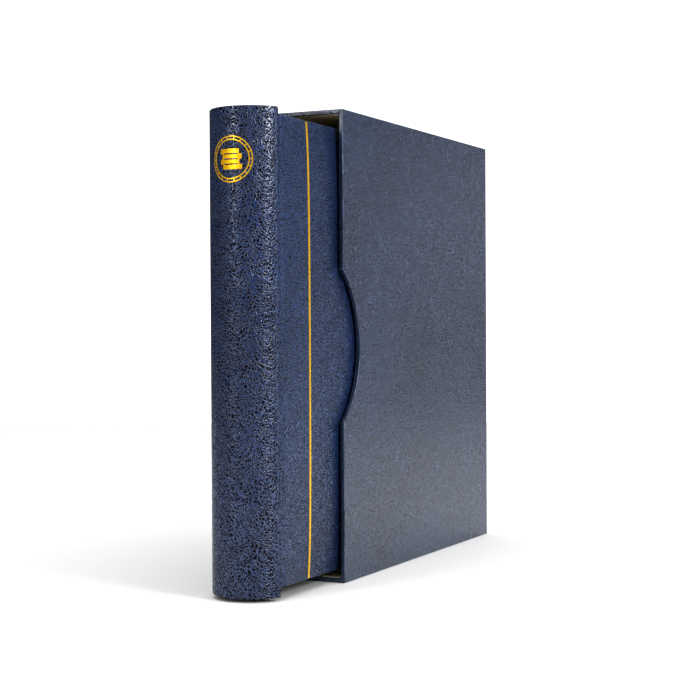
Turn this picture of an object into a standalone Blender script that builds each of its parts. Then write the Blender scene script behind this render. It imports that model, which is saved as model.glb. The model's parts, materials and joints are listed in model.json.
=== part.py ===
"""Coin album: a ring binder with padded covers, standing partly drawn out of its slipcase.

Frame: metres, +Z up.  The origin is the middle of the slipcase's underside.  The slipcase opens
towards -X and the album slides along X.  The front cover is on the -Y side, the rear cover on +Y.
"""
from math import asin, cos, pi, radians, sin, sqrt

import bmesh
import bpy
from mathutils import Matrix

# ---------------------------------------------------------------- driving dimensions (metres)
GAP = 0.0003                # between two sheets that lie on each other
CUT_REACH = 0.002           # how far a cutter goes past the face that it opens

CASE_HEIGHT = 0.325
CASE_WIDTH = 0.066
CASE_DEPTH = 0.275
LEATHERETTE = 0.0005
CASE_BOARD = 0.002
CASE_LINING = 0.0003
NOTCH_CHORD = 0.105         # thumb notch in each side wall, at the mouth
NOTCH_DEPTH = 0.026

PULLED_OUT = 0.078          # from the mouth to the rear edges of the spine
SPINE_BOTTOM = 0.0023
SPINE_HEIGHT = 0.315
SPINE_WIDTH = 0.051
SPINE_BULGE = 0.0175
SPINE_BOARD = 0.0022
SPINE_LINING = 0.0004

COVER_DEPTH = 0.265
COVER_BOTTOM = 0.0085
COVER_HEIGHT = 0.304
COVER_OUTSIDE = 0.0282      # from the album's middle plane to a cover's outer face
HINGE_GAP = 0.003           # between the spine and a cover
COVER_PADDING = 0.0022
COVER_BOARD = 0.002
ENDPAPER = 0.0004
ENDPAPER_MARGIN = 0.005
HINGE_LINING = 0.0003
HINGE_LINING_START = 0.0011  # from the spine's rear edge
HINGE_LINING_REACH = 0.011   # over the cover
GOLD_LINE_PLACE = 0.0373    # from the spine's rear edge
GOLD_LINE_WIDTH = 0.002
FOIL = 0.0002

RING_COUNT = 4
RING_SPACING = 0.080
RING_RADIUS = 0.015         # to the middle of the wire
RING_WIRE = 0.0015          # radius of the wire
RING_TIP_GAP = 0.0004       # from a half ring's tip to the middle plane
RING_OPENING = radians(12)  # each half swings out by this much
RING_RISE = 0.018           # from the blades to the middle of the rings
FOOT_OFFSET = 0.005         # a ring's foot, from the middle plane
BLADE_PIVOT = 0.009         # a blade's outer edge, from the middle plane
BLADE_THICKNESS = 0.001
PLATE_LENGTH = 0.280
PLATE_WIDTH = 0.020
PLATE_SHEET = 0.0009
PLATE_RISE = 0.0031         # of the plate's crown above its edges
PLATE_SLOT = (0.0050, 0.0040)  # a half ring's slot: across the plate and along it
LIP_THICKNESS = 0.0008
LIP_REACH = 0.0025
EAR_LENGTH = 0.0055         # beyond the plate's end
LEVER_WIDTH = 0.009
LEVER_PIVOT = 0.003         # beyond the plate's end
LEVER_BOSS = 0.002          # radius
LEVER_PIN = 0.001           # radius
RIVET_SPACING = 0.200
RIVET_HEAD = 0.004          # radius
RIVET_NECK = 0.002          # radius
RIVET_HEAD_THICKNESS = 0.001
RIVET_HOLE = 0.0023         # radius, in the plate and the spine
BLADE_RIVET_HOLE = 0.003    # radius, wider so that the blades can turn

LEAF_HEIGHT = 0.290
LEAF_WIDTH = 0.244
LEAF_MARGIN = 0.011         # from a leaf's edge to the middle of its ring holes
FILM = 0.0003
CARD = 0.0005
LEAF_SPACING = 0.0035
LEAF_CORNER = 0.004
POCKET_COLUMNS = 3
POCKET_ROWS = 4
POCKET_BINDING = 0.022      # a coin leaf's strip with the ring holes
POCKET_MARGIN = 0.006       # from a slit's ends to its pocket's sides
POCKET_DROP = 0.007         # from a pocket's top to its slit
POCKET_SLIT = 0.001
EMBLEM_RADIUS = 0.015
EMBLEM_BELOW_TOP = 0.034
EMBLEM_LINE = 0.0008

# ---------------------------------------------------------------- places worked out from them
MOUTH = -CASE_DEPTH / 2
CASE_BACK = CASE_DEPTH / 2
CASE_SIDE = CASE_WIDTH / 2
SPINE_EDGE = MOUTH - PULLED_OUT
SPINE_TOP = SPINE_BOTTOM + SPINE_HEIGHT
SPINE_MIDDLE = SPINE_BOTTOM + SPINE_HEIGHT / 2
SPINE_RADIUS = ((SPINE_WIDTH / 2) ** 2 + SPINE_BULGE ** 2) / (2 * SPINE_BULGE)
SPINE_CENTRE = SPINE_EDGE - SPINE_BULGE + SPINE_RADIUS
COVER_START = SPINE_EDGE + HINGE_GAP
COVER_END = COVER_START + COVER_DEPTH
COVER_TOP = COVER_BOTTOM + COVER_HEIGHT
BLADE_X = SPINE_EDGE - 0.0096
RING_X = BLADE_X + RING_RISE
RING_HEIGHTS = [SPINE_MIDDLE + (i - (RING_COUNT - 1) / 2) * RING_SPACING for i in range(RING_COUNT)]
LEAF_BOTTOM = SPINE_MIDDLE - LEAF_HEIGHT / 2
LEAF_TOP = SPINE_MIDDLE + LEAF_HEIGHT / 2
PLATE_END = PLATE_LENGTH / 2
PLATE_EDGE_X = BLADE_X + 0.0019
PLATE_CROWN_X = PLATE_EDGE_X + PLATE_RISE
LIP_X = BLADE_X - 0.0016
CASE_BOARD_FACE = LEATHERETTE + GAP
CASE_LINING_FACE = CASE_BOARD_FACE + CASE_BOARD + GAP
WALL = CASE_LINING_FACE + CASE_LINING
LAYERS = {                  # depths below a slipcase wall's outer face: (from, to)
    "leatherette": (0.0, LEATHERETTE),
    "board": (CASE_BOARD_FACE, CASE_BOARD_FACE + CASE_BOARD),
    "lining": (CASE_LINING_FACE, WALL),
}
SIDES = (("front", -1), ("rear", 1))

NAVY = (0.020, 0.045, 0.120)
NAVY_DULL = (0.045, 0.065, 0.125)
GREY_BOARD = (0.36, 0.34, 0.31)
CREAM = (0.62, 0.56, 0.42)
GOLD = (0.80, 0.52, 0.10)
FOAM = (0.75, 0.74, 0.70)
STEEL = (0.70, 0.71, 0.73)
CLEAR = (0.86, 0.90, 0.92)
BLACK_CARD = (0.02, 0.02, 0.022)
SPINE_LOOK = (NAVY, 0.42)   # a look is a colour, a roughness and how metallic it is
COVER_LOOK = (NAVY, 0.5)
CASE_LOOK = (NAVY_DULL, 0.55)
BOARD_LOOK = (GREY_BOARD, 0.85)
PAPER_LOOK = (CREAM, 0.9)
FOIL_LOOK = (GOLD, 0.3, 1.0)
STEEL_LOOK = (STEEL, 0.25, 1.0)
FILM_LOOK = (CLEAR, 0.1)


# ---------------------------------------------------------------- scene and helpers
def clear_scene():
    for obj in list(bpy.data.objects):
        bpy.data.objects.remove(obj, do_unlink=True)
    for coll in list(bpy.data.collections):
        bpy.data.collections.remove(coll)


def new_collection(name):
    coll = bpy.data.collections.new(name)
    bpy.context.scene.collection.children.link(coll)
    return coll


def material(name, colour, roughness, metallic=0.0):
    """One Principled material, made for one part."""
    mat = bpy.data.materials.new(name)
    mat.use_nodes = True
    shader = mat.node_tree.nodes["Principled BSDF"]
    shader.inputs["Base Color"].default_value = (*colour, 1.0)
    shader.inputs["Roughness"].default_value = roughness
    shader.inputs["Metallic"].default_value = metallic
    return mat


def add_object(name, data, look, collection=None):
    """Link an object; look is (colour, roughness, metallic)."""
    obj = bpy.data.objects.new(name, data)
    (collection or PARTS).objects.link(obj)
    if look is not None:
        data.materials.append(material(name, *look))
    return obj


def box(name, low, high, look, collection=None):
    """A box between two corners, given in any order."""
    size = [abs(b - a) for a, b in zip(low, high)]
    middle = [(a + b) / 2 for a, b in zip(low, high)]
    mesh = bpy.data.meshes.new(name)
    bm = bmesh.new()
    bmesh.ops.create_cube(bm, size=1.0)
    bmesh.ops.scale(bm, vec=size, verts=bm.verts)
    bm.to_mesh(mesh)
    bm.free()
    obj = add_object(name, mesh, look, collection)
    obj.location = middle
    return obj


def move_to(obj, collection):
    for old in list(obj.users_collection):
        old.objects.unlink(obj)
    collection.objects.link(obj)
    return obj


def outline_curve(name, outlines, thickness, look):
    """A flat sheet from closed outlines in local XY; outlines inside the first are holes."""
    curve = bpy.data.curves.new(name, "CURVE")
    curve.dimensions = "2D"
    curve.fill_mode = "BOTH"
    curve.extrude = thickness / 2
    for points in outlines:
        spline = curve.splines.new("POLY")
        spline.points.add(len(points) - 1)
        for point, (x, y) in zip(spline.points, points):
            point.co = (x, y, 0.0, 1.0)
        spline.use_cyclic_u = True
    return add_object(name, curve, look)


def as_mesh(obj):
    """Swap a curve object for the welded mesh that it draws."""
    bpy.context.view_layer.update()
    depsgraph = bpy.context.evaluated_depsgraph_get()
    mesh = bpy.data.meshes.new_from_object(obj.evaluated_get(depsgraph))
    bm = bmesh.new()
    bm.from_mesh(mesh)
    bmesh.ops.remove_doubles(bm, verts=bm.verts, dist=0.00001)
    bmesh.ops.recalc_face_normals(bm, faces=bm.faces)
    bm.to_mesh(mesh)
    bm.free()
    name = obj.name
    matrix = obj.matrix_world.copy()
    owner = obj.users_collection[0]
    bpy.data.objects.remove(obj, do_unlink=True)
    solid = bpy.data.objects.new(name, mesh)
    owner.objects.link(solid)
    solid.matrix_world = matrix
    return solid


def sheet_xz(name, outlines, y_low, y_high, look):
    """A flat sheet whose outlines are given in world (x, z), between two values of y."""
    obj = outline_curve(name, outlines, y_high - y_low, look)
    obj.matrix_world = Matrix.Translation((0, (y_low + y_high) / 2, 0)) @ Matrix.Rotation(pi / 2, 4, "X")
    return as_mesh(obj)


def sheet_xy(name, outlines, z_low, z_high, look):
    """A straight length whose section is given in world (x, y), between two heights."""
    obj = outline_curve(name, outlines, z_high - z_low, look)
    obj.matrix_world = Matrix.Translation((0, 0, (z_low + z_high) / 2))
    return as_mesh(obj)


def combine(obj, helper, operation):
    """Cut a helper object out of a mesh object, or join it on."""
    helper.hide_render = True
    helper.display_type = "WIRE"
    mod = obj.modifiers.new(helper.name, "BOOLEAN")
    mod.operation = operation
    mod.object = helper


def cut(obj, *cutters):
    for cutter in cutters:
        combine(obj, cutter, "DIFFERENCE")
    return obj


def shade_round(obj, angle=radians(35)):
    obj.data.shade_smooth()
    obj.data.set_sharp_from_angle(angle=angle)
    return obj


def arc(centre, radius, start, end, steps):
    """Points on a circle in the plane of the outline, from one angle to another."""
    return [
        (centre[0] + radius * cos(start + (end - start) * i / steps),
         centre[1] + radius * sin(start + (end - start) * i / steps))
        for i in range(steps + 1)
    ]


def rectangle(low, high):
    return [(low[0], low[1]), (high[0], low[1]), (high[0], high[1]), (low[0], high[1])]


def rounded_rectangle(low, high, radius, steps=3):
    corners = [
        ((high[0] - radius, low[1] + radius), -pi / 2),
        ((high[0] - radius, high[1] - radius), 0.0),
        ((low[0] + radius, high[1] - radius), pi / 2),
        ((low[0] + radius, low[1] + radius), pi),
    ]
    return [p for centre, start in corners for p in arc(centre, radius, start, start + pi / 2, steps)]


def hang_on(parent_name, place, children):
    """Parent pieces to an empty that marks their joint's axis."""
    empty = bpy.data.objects.new(parent_name, None)
    PARTS.objects.link(empty)
    empty.location = place
    bpy.context.view_layer.update()
    for child in children:
        world = child.matrix_world.copy()
        child.parent = empty
        child.matrix_parent_inverse = empty.matrix_world.inverted()
        child.matrix_world = world
    return empty


# ---------------------------------------------------------------- the slipcase
def side_outline(mouth_inset, edge_inset):
    """A side wall in (x, z), with the round thumb notch at the mouth."""
    radius = ((NOTCH_CHORD / 2) ** 2 + NOTCH_DEPTH ** 2) / (2 * NOTCH_DEPTH)
    centre = (MOUTH + NOTCH_DEPTH - radius, CASE_HEIGHT / 2)
    radius += mouth_inset
    mouth = MOUTH + mouth_inset
    half_angle = asin(sqrt(radius ** 2 - (mouth - centre[0]) ** 2) / radius)
    low, high = edge_inset, CASE_HEIGHT - edge_inset
    back = CASE_BACK - edge_inset
    notch = arc(centre, radius, half_angle, -half_angle, 24)
    return [(mouth, low), (back, low), (back, high), (mouth, high), *notch]


def slipcase_side(name, sign):
    """One side wall: leatherette turned round its mouth, board and lining."""
    span = sorted((sign * CASE_SIDE, sign * (CASE_SIDE - WALL)))
    skin = sheet_xz(f"slipcase_{name}_leatherette", [side_outline(0.0, 0.0)], *span, CASE_LOOK)
    span = sorted((sign * (CASE_SIDE - LEATHERETTE), sign * (CASE_SIDE - WALL - CUT_REACH)))
    pocket = sheet_xz(f"cut_{name}_side", [side_outline(LEATHERETTE, -CUT_REACH)], *span, None)
    cut(skin, move_to(pocket, CUTTERS))
    for layer, edge, look in (("board", CASE_BOARD_FACE, BOARD_LOOK), ("lining", WALL + GAP, PAPER_LOOK)):
        span = sorted(sign * (CASE_SIDE - depth) for depth in LAYERS[layer])
        sheet_xz(f"slipcase_{name}_{layer}", [side_outline(CASE_BOARD_FACE, edge)], *span, look)


def slipcase_gusset():
    """The top, bottom and back walls between the two side walls."""
    mouth_edge = MOUTH + LEATHERETTE + GAP
    side_skin = CASE_SIDE - CASE_BOARD_FACE
    side_board = CASE_SIDE - CASE_LINING_FACE
    side_lining = CASE_SIDE - WALL - GAP
    for name, edge, inward in (("bottom", 0.0, 1), ("top", CASE_HEIGHT, -1)):
        outside, under, inside = [edge + inward * depth for depth in (0.0, LEATHERETTE, WALL)]
        turned_in = [
            (MOUTH, outside), (CASE_BACK, outside), (CASE_BACK, under),
            (MOUTH + LEATHERETTE, under), (MOUTH + LEATHERETTE, inside), (MOUTH, inside),
        ]
        skin = sheet_xz(f"slipcase_{name}_leatherette", [turned_in], -side_skin, side_skin, CASE_LOOK)
        reach = inward * CUT_REACH
        corners = [
            box(f"cut_{name}_corner_{sign}", (MOUTH - CUT_REACH, sign * side_lining, outside - reach),
                (mouth_edge, sign * CASE_SIDE, inside + reach), None, CUTTERS)
            for sign in (-1, 1)
        ]
        cut(skin, *corners)
        for layer, side, look in (("board", side_board, BOARD_LOOK), ("lining", side_lining, PAPER_LOOK)):
            outer, inner = LAYERS[layer]
            box(f"slipcase_{name}_{layer}", (mouth_edge, -side, edge + inward * outer),
                (CASE_BACK - outer, side, edge + inward * inner), look)
    backs = (
        ("leatherette", side_skin, CASE_BOARD_FACE, CASE_LOOK),
        ("board", side_board, CASE_LINING_FACE, BOARD_LOOK),
        ("lining", side_lining, WALL + GAP, PAPER_LOOK),
    )
    for layer, side, end, look in backs:
        outer, inner = LAYERS[layer]
        box(f"slipcase_back_{layer}", (CASE_BACK - outer, -side, end),
            (CASE_BACK - inner, side, CASE_HEIGHT - end), look)


# ---------------------------------------------------------------- the album's spine
def spine_arc(depth, end_gap, steps=24):
    """A layer's face at a depth below the spine's outer face, as points in (x, y)."""
    radius = SPINE_RADIUS - depth
    half_angle = asin(SPINE_WIDTH / 2 / SPINE_RADIUS) - end_gap / SPINE_RADIUS
    return arc((SPINE_CENTRE, 0.0), radius, pi - half_angle, pi + half_angle, steps)


def rivet_heights():
    return [SPINE_MIDDLE - RIVET_SPACING / 2, SPINE_MIDDLE + RIVET_SPACING / 2]


def rivet_holes(name, radius):
    """Cutters along X for the two rivets that hold the ring mechanism."""
    holes = []
    for i, height in enumerate(rivet_heights()):
        bpy.ops.mesh.primitive_cylinder_add(
            vertices=16, radius=radius, depth=SPINE_WIDTH / 2, location=(BLADE_X, 0.0, height),
            rotation=(0.0, pi / 2, 0.0))
        hole = move_to(bpy.context.object, CUTTERS)
        hole.name = f"cut_{name}_{i + 1}"
        holes.append(hole)
    return holes


def spine():
    """A stiff rounded board with leatherette turned round its long edges, and a lining."""
    inset = LEATHERETTE + GAP
    board_inner = inset + SPINE_BOARD
    lining_outer = board_inner + GAP
    lining_inner = lining_outer + SPINE_LINING
    skin = [
        *spine_arc(0.0, 0.0),
        spine_arc(lining_inner, 0.0)[-1],
        spine_arc(lining_inner, LEATHERETTE)[-1],
        *reversed(spine_arc(LEATHERETTE, LEATHERETTE)),
        spine_arc(lining_inner, LEATHERETTE)[0],
        spine_arc(lining_inner, 0.0)[0],
    ]
    board = [*spine_arc(inset, inset), *reversed(spine_arc(board_inner, inset))]
    lining = [*spine_arc(lining_outer, inset), *reversed(spine_arc(lining_inner, inset))]
    shade_round(sheet_xy("spine_leatherette", [skin], SPINE_BOTTOM, SPINE_TOP, SPINE_LOOK))
    low, high = SPINE_BOTTOM + 2 * LEATHERETTE, SPINE_TOP - 2 * LEATHERETTE
    for name, section, look in (("board", board, BOARD_LOOK), ("lining", lining, PAPER_LOOK)):
        layer = sheet_xy(f"spine_{name}", [section], low, high, look)
        shade_round(cut(layer, *rivet_holes(name, RIVET_HOLE)))


def emblem_rim(ticks=18, circle_steps=36):
    """A coin's milled rim: two thin circles joined by short ticks, as one outline with windows."""
    outer = EMBLEM_RADIUS
    window_out = outer - EMBLEM_LINE
    window_in = outer * 0.86
    inner = window_in - EMBLEM_LINE
    around = 2 * pi * (circle_steps - 1) / circle_steps
    outlines = [arc((0, 0), radius, 0, around, circle_steps - 1) for radius in (outer, inner)]
    half_tick = EMBLEM_LINE / outer / 2
    step = 2 * pi / ticks
    for i in range(ticks):
        start, end = i * step + half_tick, (i + 1) * step - half_tick
        outlines.append([*arc((0, 0), window_out, start, end, 2), *arc((0, 0), window_in, end, start, 2)])
    return outlines


def emblem_coins():
    """A leaning stack of coins seen from its edge, as one outline with a slit between each two."""
    half, thick = EMBLEM_RADIUS * 0.46, EMBLEM_RADIUS * 0.22
    slit = EMBLEM_RADIUS * 0.32
    shifts = [EMBLEM_RADIUS * lean for lean in (0.07, -0.05, 0.05, -0.07)]
    floors = [(level - len(shifts) / 2) * thick for level in range(len(shifts))]
    right = [(shift + half, floor + up) for shift, floor in zip(shifts, floors) for up in (0.0, thick)]
    left = [(shift - half, floor + up) for shift, floor in zip(shifts, floors) for up in (0.0, thick)]
    line = EMBLEM_LINE / 2
    slits = [rectangle((-slit, floor - line), (slit, floor + line)) for floor in floors[1:]]
    return [[*right, *reversed(left)], *slits]


def wrap_round_spine(foil, height, strips=12):
    """Cut flat foil at even places across, and bend it to the spine just clear of the leatherette."""
    off_centre = 0.00003    # keeps the cuts away from the outlines' own points
    bm = bmesh.new()
    bm.from_mesh(foil.data)
    for i in range(1, strips):
        place = EMBLEM_RADIUS * (2 * i / strips - 1) + off_centre
        geometry = [*bm.verts, *bm.edges, *bm.faces]
        bmesh.ops.bisect_plane(bm, geom=geometry, plane_co=(place, 0, 0), plane_no=(1, 0, 0), dist=0.000001)
    base = SPINE_RADIUS + GAP + FOIL / 2
    for vertex in bm.verts:
        across, up, out = vertex.co
        angle = across / SPINE_RADIUS
        radius = base + out
        vertex.co = (SPINE_CENTRE - radius * cos(angle), -radius * sin(angle), height + up)
    bm.to_mesh(foil.data)
    bm.free()


def spine_emblem():
    """A plain coin mark in gold foil, wrapped round the spine: a milled rim and a stack of coins."""
    for name, outlines in (("rim", emblem_rim()), ("coins", emblem_coins())):
        foil = as_mesh(outline_curve(f"spine_emblem_{name}", outlines, FOIL, FOIL_LOOK))
        wrap_round_spine(foil, SPINE_TOP - EMBLEM_BELOW_TOP)


# ---------------------------------------------------------------- the two covers
def cover(name, side):
    """One padded cover; side is -1 for the front cover and 1 for the rear one.  Returns how far its
    endpaper is from the album's middle plane."""
    def place(depth):
        return side * (COVER_OUTSIDE - depth)

    def layer(part, outer, thickness, margin, look):
        return box(f"{name}_cover_{part}", (COVER_START + margin, place(outer), COVER_BOTTOM + margin),
                   (COVER_END - margin, place(outer + thickness), COVER_TOP - margin), look)

    pad = LEATHERETTE + GAP
    board = pad + COVER_PADDING + GAP
    paper = board + COVER_BOARD + GAP
    skin = layer("leatherette", 0.0, paper - GAP, 0.0, COVER_LOOK)
    hollow = box(f"cut_{name}_cover",
                 (COVER_START + LEATHERETTE, place(LEATHERETTE), COVER_BOTTOM + LEATHERETTE),
                 (COVER_END - LEATHERETTE, place(paper + CUT_REACH), COVER_TOP - LEATHERETTE), None, CUTTERS)
    cut(skin, hollow)
    gold_x = SPINE_EDGE + GOLD_LINE_PLACE
    pieces = [
        skin,
        layer("padding", pad, COVER_PADDING, pad, (FOAM, 0.9)),
        layer("board", board, COVER_BOARD, pad, BOARD_LOOK),
        layer("endpaper", paper, ENDPAPER, ENDPAPER_MARGIN, PAPER_LOOK),
        box(f"{name}_cover_gold_line", (gold_x - GOLD_LINE_WIDTH / 2, place(-GAP), COVER_BOTTOM),
            (gold_x + GOLD_LINE_WIDTH / 2, place(-GAP - FOIL), COVER_TOP), FOIL_LOOK),
    ]
    hang_on(f"{name}_cover_axis", (SPINE_EDGE + HINGE_GAP / 2, side * COVER_OUTSIDE, 0.0), pieces)
    return COVER_OUTSIDE - paper - ENDPAPER


def cover_hinge(name, side, inner_face):
    """The flexible strips between the spine and a cover: leatherette outside, lining inside."""
    start, end = SPINE_EDGE + GAP, COVER_START - GAP
    spine_side, cover_side = SPINE_WIDTH / 2, COVER_OUTSIDE - FOIL
    skin = [
        (start, side * (spine_side - LEATHERETTE)), (start, side * spine_side),
        (end, side * cover_side), (end, side * (cover_side - LEATHERETTE)),
    ]
    sheet_xy(f"{name}_hinge_leatherette", [skin], COVER_BOTTOM, COVER_TOP, COVER_LOOK)
    face = inner_face - GAP
    low, high = COVER_BOTTOM + ENDPAPER_MARGIN, COVER_TOP - ENDPAPER_MARGIN
    box(f"{name}_hinge_lining", (SPINE_EDGE + HINGE_LINING_START, side * face, low),
        (COVER_START + HINGE_LINING_REACH, side * (face - HINGE_LINING), high), PAPER_LOOK)


# ---------------------------------------------------------------- the ring mechanism
def plate_section():
    """The arched sheet with its long edges folded under the blades, in (x, y)."""
    half = PLATE_WIDTH / 2
    rise = PLATE_CROWN_X - PLATE_EDGE_X
    radius = (half ** 2 + rise ** 2) / (2 * rise)
    centre = (PLATE_CROWN_X - radius, 0.0)
    half_angle = asin(half / radius)
    inner_radius = radius - PLATE_SHEET
    inner_half = half - PLATE_SHEET
    inner_angle = asin(inner_half / inner_radius)
    outer = arc(centre, radius, half_angle, -half_angle, 12)
    inner = arc(centre, inner_radius, -inner_angle, inner_angle, 12)
    lip_top = LIP_X + LIP_THICKNESS
    return [
        *outer,
        (LIP_X, -half), (LIP_X, -half + LIP_REACH), (lip_top, -half + LIP_REACH), (lip_top, -inner_half),
        *inner,
        (lip_top, inner_half), (lip_top, half - LIP_REACH), (LIP_X, half - LIP_REACH), (LIP_X, half),
    ]


def base_plate():
    """The arched plate, with a slot for each half ring, rivet holes and ears for the lever pins."""
    plate = sheet_xy("ring_base_plate", [plate_section()], SPINE_MIDDLE - PLATE_END, SPINE_MIDDLE + PLATE_END,
                     STEEL_LOOK)
    across, along = PLATE_SLOT
    slot_middle = FOOT_OFFSET + 0.0006
    slots = [
        box(f"cut_slot_{i + 1}_{side}",
            (PLATE_EDGE_X - GAP, side * (slot_middle - across / 2), height - along / 2),
            (PLATE_CROWN_X + CUT_REACH, side * (slot_middle + across / 2), height + along / 2), None, CUTTERS)
        for i, height in enumerate(RING_HEIGHTS) for side in (-1, 1)
    ]
    cut(plate, *slots, *rivet_holes("plate", RIVET_HOLE))
    overlap = 0.0001        # sinks an ear into the plate, so that the two join
    outer_y, inner_y = PLATE_WIDTH / 2 - overlap, PLATE_WIDTH / 2 - PLATE_SHEET + overlap
    for end in (-1, 1):
        for side in (-1, 1):
            ear = box(f"ear_{end}_{side}",
                      (LIP_X + overlap, side * outer_y, SPINE_MIDDLE + end * (PLATE_END - 10 * overlap)),
                      (PLATE_EDGE_X - GAP, side * inner_y, SPINE_MIDDLE + end * (PLATE_END + EAR_LENGTH)),
                      None, CUTTERS)
            combine(plate, ear, "UNION")
    return plate


def rivet(name, height):
    """A round rivet along X, from the plate's crown into the spine board."""
    top = PLATE_CROWN_X + GAP + RIVET_HEAD_THICKNESS - BLADE_X
    under_head = top - RIVET_HEAD_THICKNESS
    bottom = SPINE_EDGE - SPINE_BULGE + LEATHERETTE + 2 * GAP - BLADE_X
    profile = [
        (0.0, top), (RIVET_HEAD * 0.7, top), (RIVET_HEAD, (top + under_head) / 2), (RIVET_HEAD, under_head),
        (RIVET_NECK, under_head), (RIVET_NECK, bottom), (0.0, bottom),
    ]
    bm = bmesh.new()
    verts = [bm.verts.new((radius, 0.0, level)) for radius, level in profile]
    for a, b in zip(verts, verts[1:]):
        bm.edges.new((a, b))
    mesh = bpy.data.meshes.new(name)
    bm.to_mesh(mesh)
    bm.free()
    obj = add_object(name, mesh, STEEL_LOOK)
    screw = obj.modifiers.new("turned", "SCREW")
    screw.steps = screw.render_steps = 14
    screw.use_merge_vertices = True
    screw.merge_threshold = 0.00001
    obj.matrix_world = Matrix.Translation((BLADE_X, 0.0, height)) @ Matrix.Rotation(pi / 2, 4, "Y")
    return obj


def blade(name, side):
    """A flat steel strip under the plate; its outer edge is its pivot."""
    end = PLATE_END - GAP
    strip = box(f"{name}_ring_blade", (BLADE_X - BLADE_THICKNESS / 2, side * GAP / 2, SPINE_MIDDLE - end),
                (BLADE_X + BLADE_THICKNESS / 2, side * (BLADE_PIVOT - GAP), SPINE_MIDDLE + end), STEEL_LOOK)
    return cut(strip, *rivet_holes(name, BLADE_RIVET_HOLE))


def half_ring(name, side, height):
    """Half of a ring: a foot that stands on its blade, and a half circle to the middle plane."""
    tip_angle = RING_TIP_GAP / RING_RADIUS
    foot_angle = pi - asin(FOOT_OFFSET / RING_RADIUS)
    foot = (BLADE_X + BLADE_THICKNESS / 2 + GAP, FOOT_OFFSET)
    points = [foot, *arc((RING_X, 0.0), RING_RADIUS, foot_angle, tip_angle, 11)]
    curve = bpy.data.curves.new(name, "CURVE")
    curve.dimensions = "3D"
    curve.bevel_depth = RING_WIRE
    curve.bevel_resolution = 2
    curve.use_fill_caps = True
    spline = curve.splines.new("POLY")
    spline.points.add(len(points) - 1)
    for point, (x, y) in zip(spline.points, points):
        point.co = (x, side * y, height, 1.0)
    return shade_round(as_mesh(add_object(name, curve, STEEL_LOOK)), radians(50))


def lever(name, end):
    """A thumb lever: an arm under the blades, a round boss with a pin hole, and a tab to press.  Its
    section is given from the pin, as (away from the spine, outwards along the plate)."""
    boss, heel = LEVER_BOSS, LEVER_BOSS * 0.9
    arm_top, arm_end = 0.0010, 0.0046
    tab_reach, tab_spread, tab_thickness = 0.0145, 0.0036, 0.0019
    section = [
        (-heel, -arm_end), (-arm_top, -arm_end), (-arm_top, -heel), (boss * 0.6, -boss * 0.8),
        (tab_reach, tab_spread), (tab_reach - GAP, tab_spread + tab_thickness),
        (GAP, boss), (-boss * 0.6, boss * 0.8), (-boss, GAP), (-heel, -boss * 0.4),
    ]
    pin_hole = arc((0, 0), LEVER_PIN + GAP, 0, 2 * pi * 11 / 12, 11)
    pivot = SPINE_MIDDLE + end * (PLATE_END + LEVER_PIVOT)
    outlines = [[(BLADE_X + u, pivot + end * w) for u, w in outline] for outline in (section, pin_hole)]
    return sheet_xz(f"{name}_ring_lever", outlines, -LEVER_WIDTH / 2, LEVER_WIDTH / 2, STEEL_LOOK)


def lever_pin(name, end):
    length = PLATE_WIDTH - 2 * PLATE_SHEET - 2 * GAP
    bpy.ops.mesh.primitive_cylinder_add(
        vertices=12, radius=LEVER_PIN, depth=length, rotation=(pi / 2, 0.0, 0.0),
        location=(BLADE_X, 0.0, SPINE_MIDDLE + end * (PLATE_END + LEVER_PIVOT)))
    pin = move_to(bpy.context.object, PARTS)
    pin.name = f"{name}_lever_pin"
    pin.data.materials.append(material(pin.name, *STEEL_LOOK))
    return shade_round(pin)


def ring_mechanism():
    base_plate()
    for i, height in enumerate(rivet_heights()):
        rivet(f"ring_rivet_{i + 1}", height)
    for name, side in SIDES:
        pieces = [blade(name, side)]
        for i, height in enumerate(RING_HEIGHTS):
            pieces.append(half_ring(f"{name}_half_ring_{i + 1}", side, height))
        hang_on(f"{name}_ring_axis", (BLADE_X, side * BLADE_PIVOT, SPINE_MIDDLE), pieces)
    for name, end in (("lower", -1), ("upper", 1)):
        lever_pin(name, end)
        pivot = SPINE_MIDDLE + end * (PLATE_END + LEVER_PIVOT)
        hang_on(f"{name}_lever_axis", (BLADE_X, 0.0, pivot), [lever(name, end)])


# ---------------------------------------------------------------- the leaves
def ring_crossing(y, opening):
    """The x at which a ring's wire passes a leaf at distance y, when its half has turned by an angle."""
    reach_x, reach_y = RING_RISE, BLADE_PIVOT
    centre_x = BLADE_X + reach_x * cos(opening) + reach_y * sin(opening)
    centre_y = BLADE_PIVOT - (reach_y * cos(opening) - reach_x * sin(opening))
    return centre_x + sqrt(RING_RADIUS ** 2 - (abs(y) - centre_y) ** 2)


def leaf_outlines(y, left):
    """A leaf's edge and its four long ring holes, in (x, z)."""
    margin = 2 * RING_WIRE
    start = ring_crossing(y, 0.0) - margin
    end = ring_crossing(y, RING_OPENING) + margin
    holes = [
        rounded_rectangle((start, height - margin), (end, height + margin), margin * 0.98)
        for height in RING_HEIGHTS
    ]
    return [rounded_rectangle((left, LEAF_BOTTOM), (left + LEAF_WIDTH, LEAF_TOP), LEAF_CORNER), *holes]


def leaf_left(y):
    return ring_crossing(y, 0.0) - LEAF_MARGIN


def pocket_slits(left):
    """The openings at the tops of a coin leaf's pockets."""
    width = (LEAF_WIDTH - POCKET_BINDING) / POCKET_COLUMNS
    height = LEAF_HEIGHT / POCKET_ROWS
    slits = []
    for column in range(POCKET_COLUMNS):
        for row in range(POCKET_ROWS):
            start = left + POCKET_BINDING + column * width + POCKET_MARGIN
            top = LEAF_BOTTOM + (row + 1) * height - POCKET_DROP
            slits.append(rectangle((start, top - POCKET_SLIT), (start + width - 2 * POCKET_MARGIN, top)))
    return slits


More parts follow.
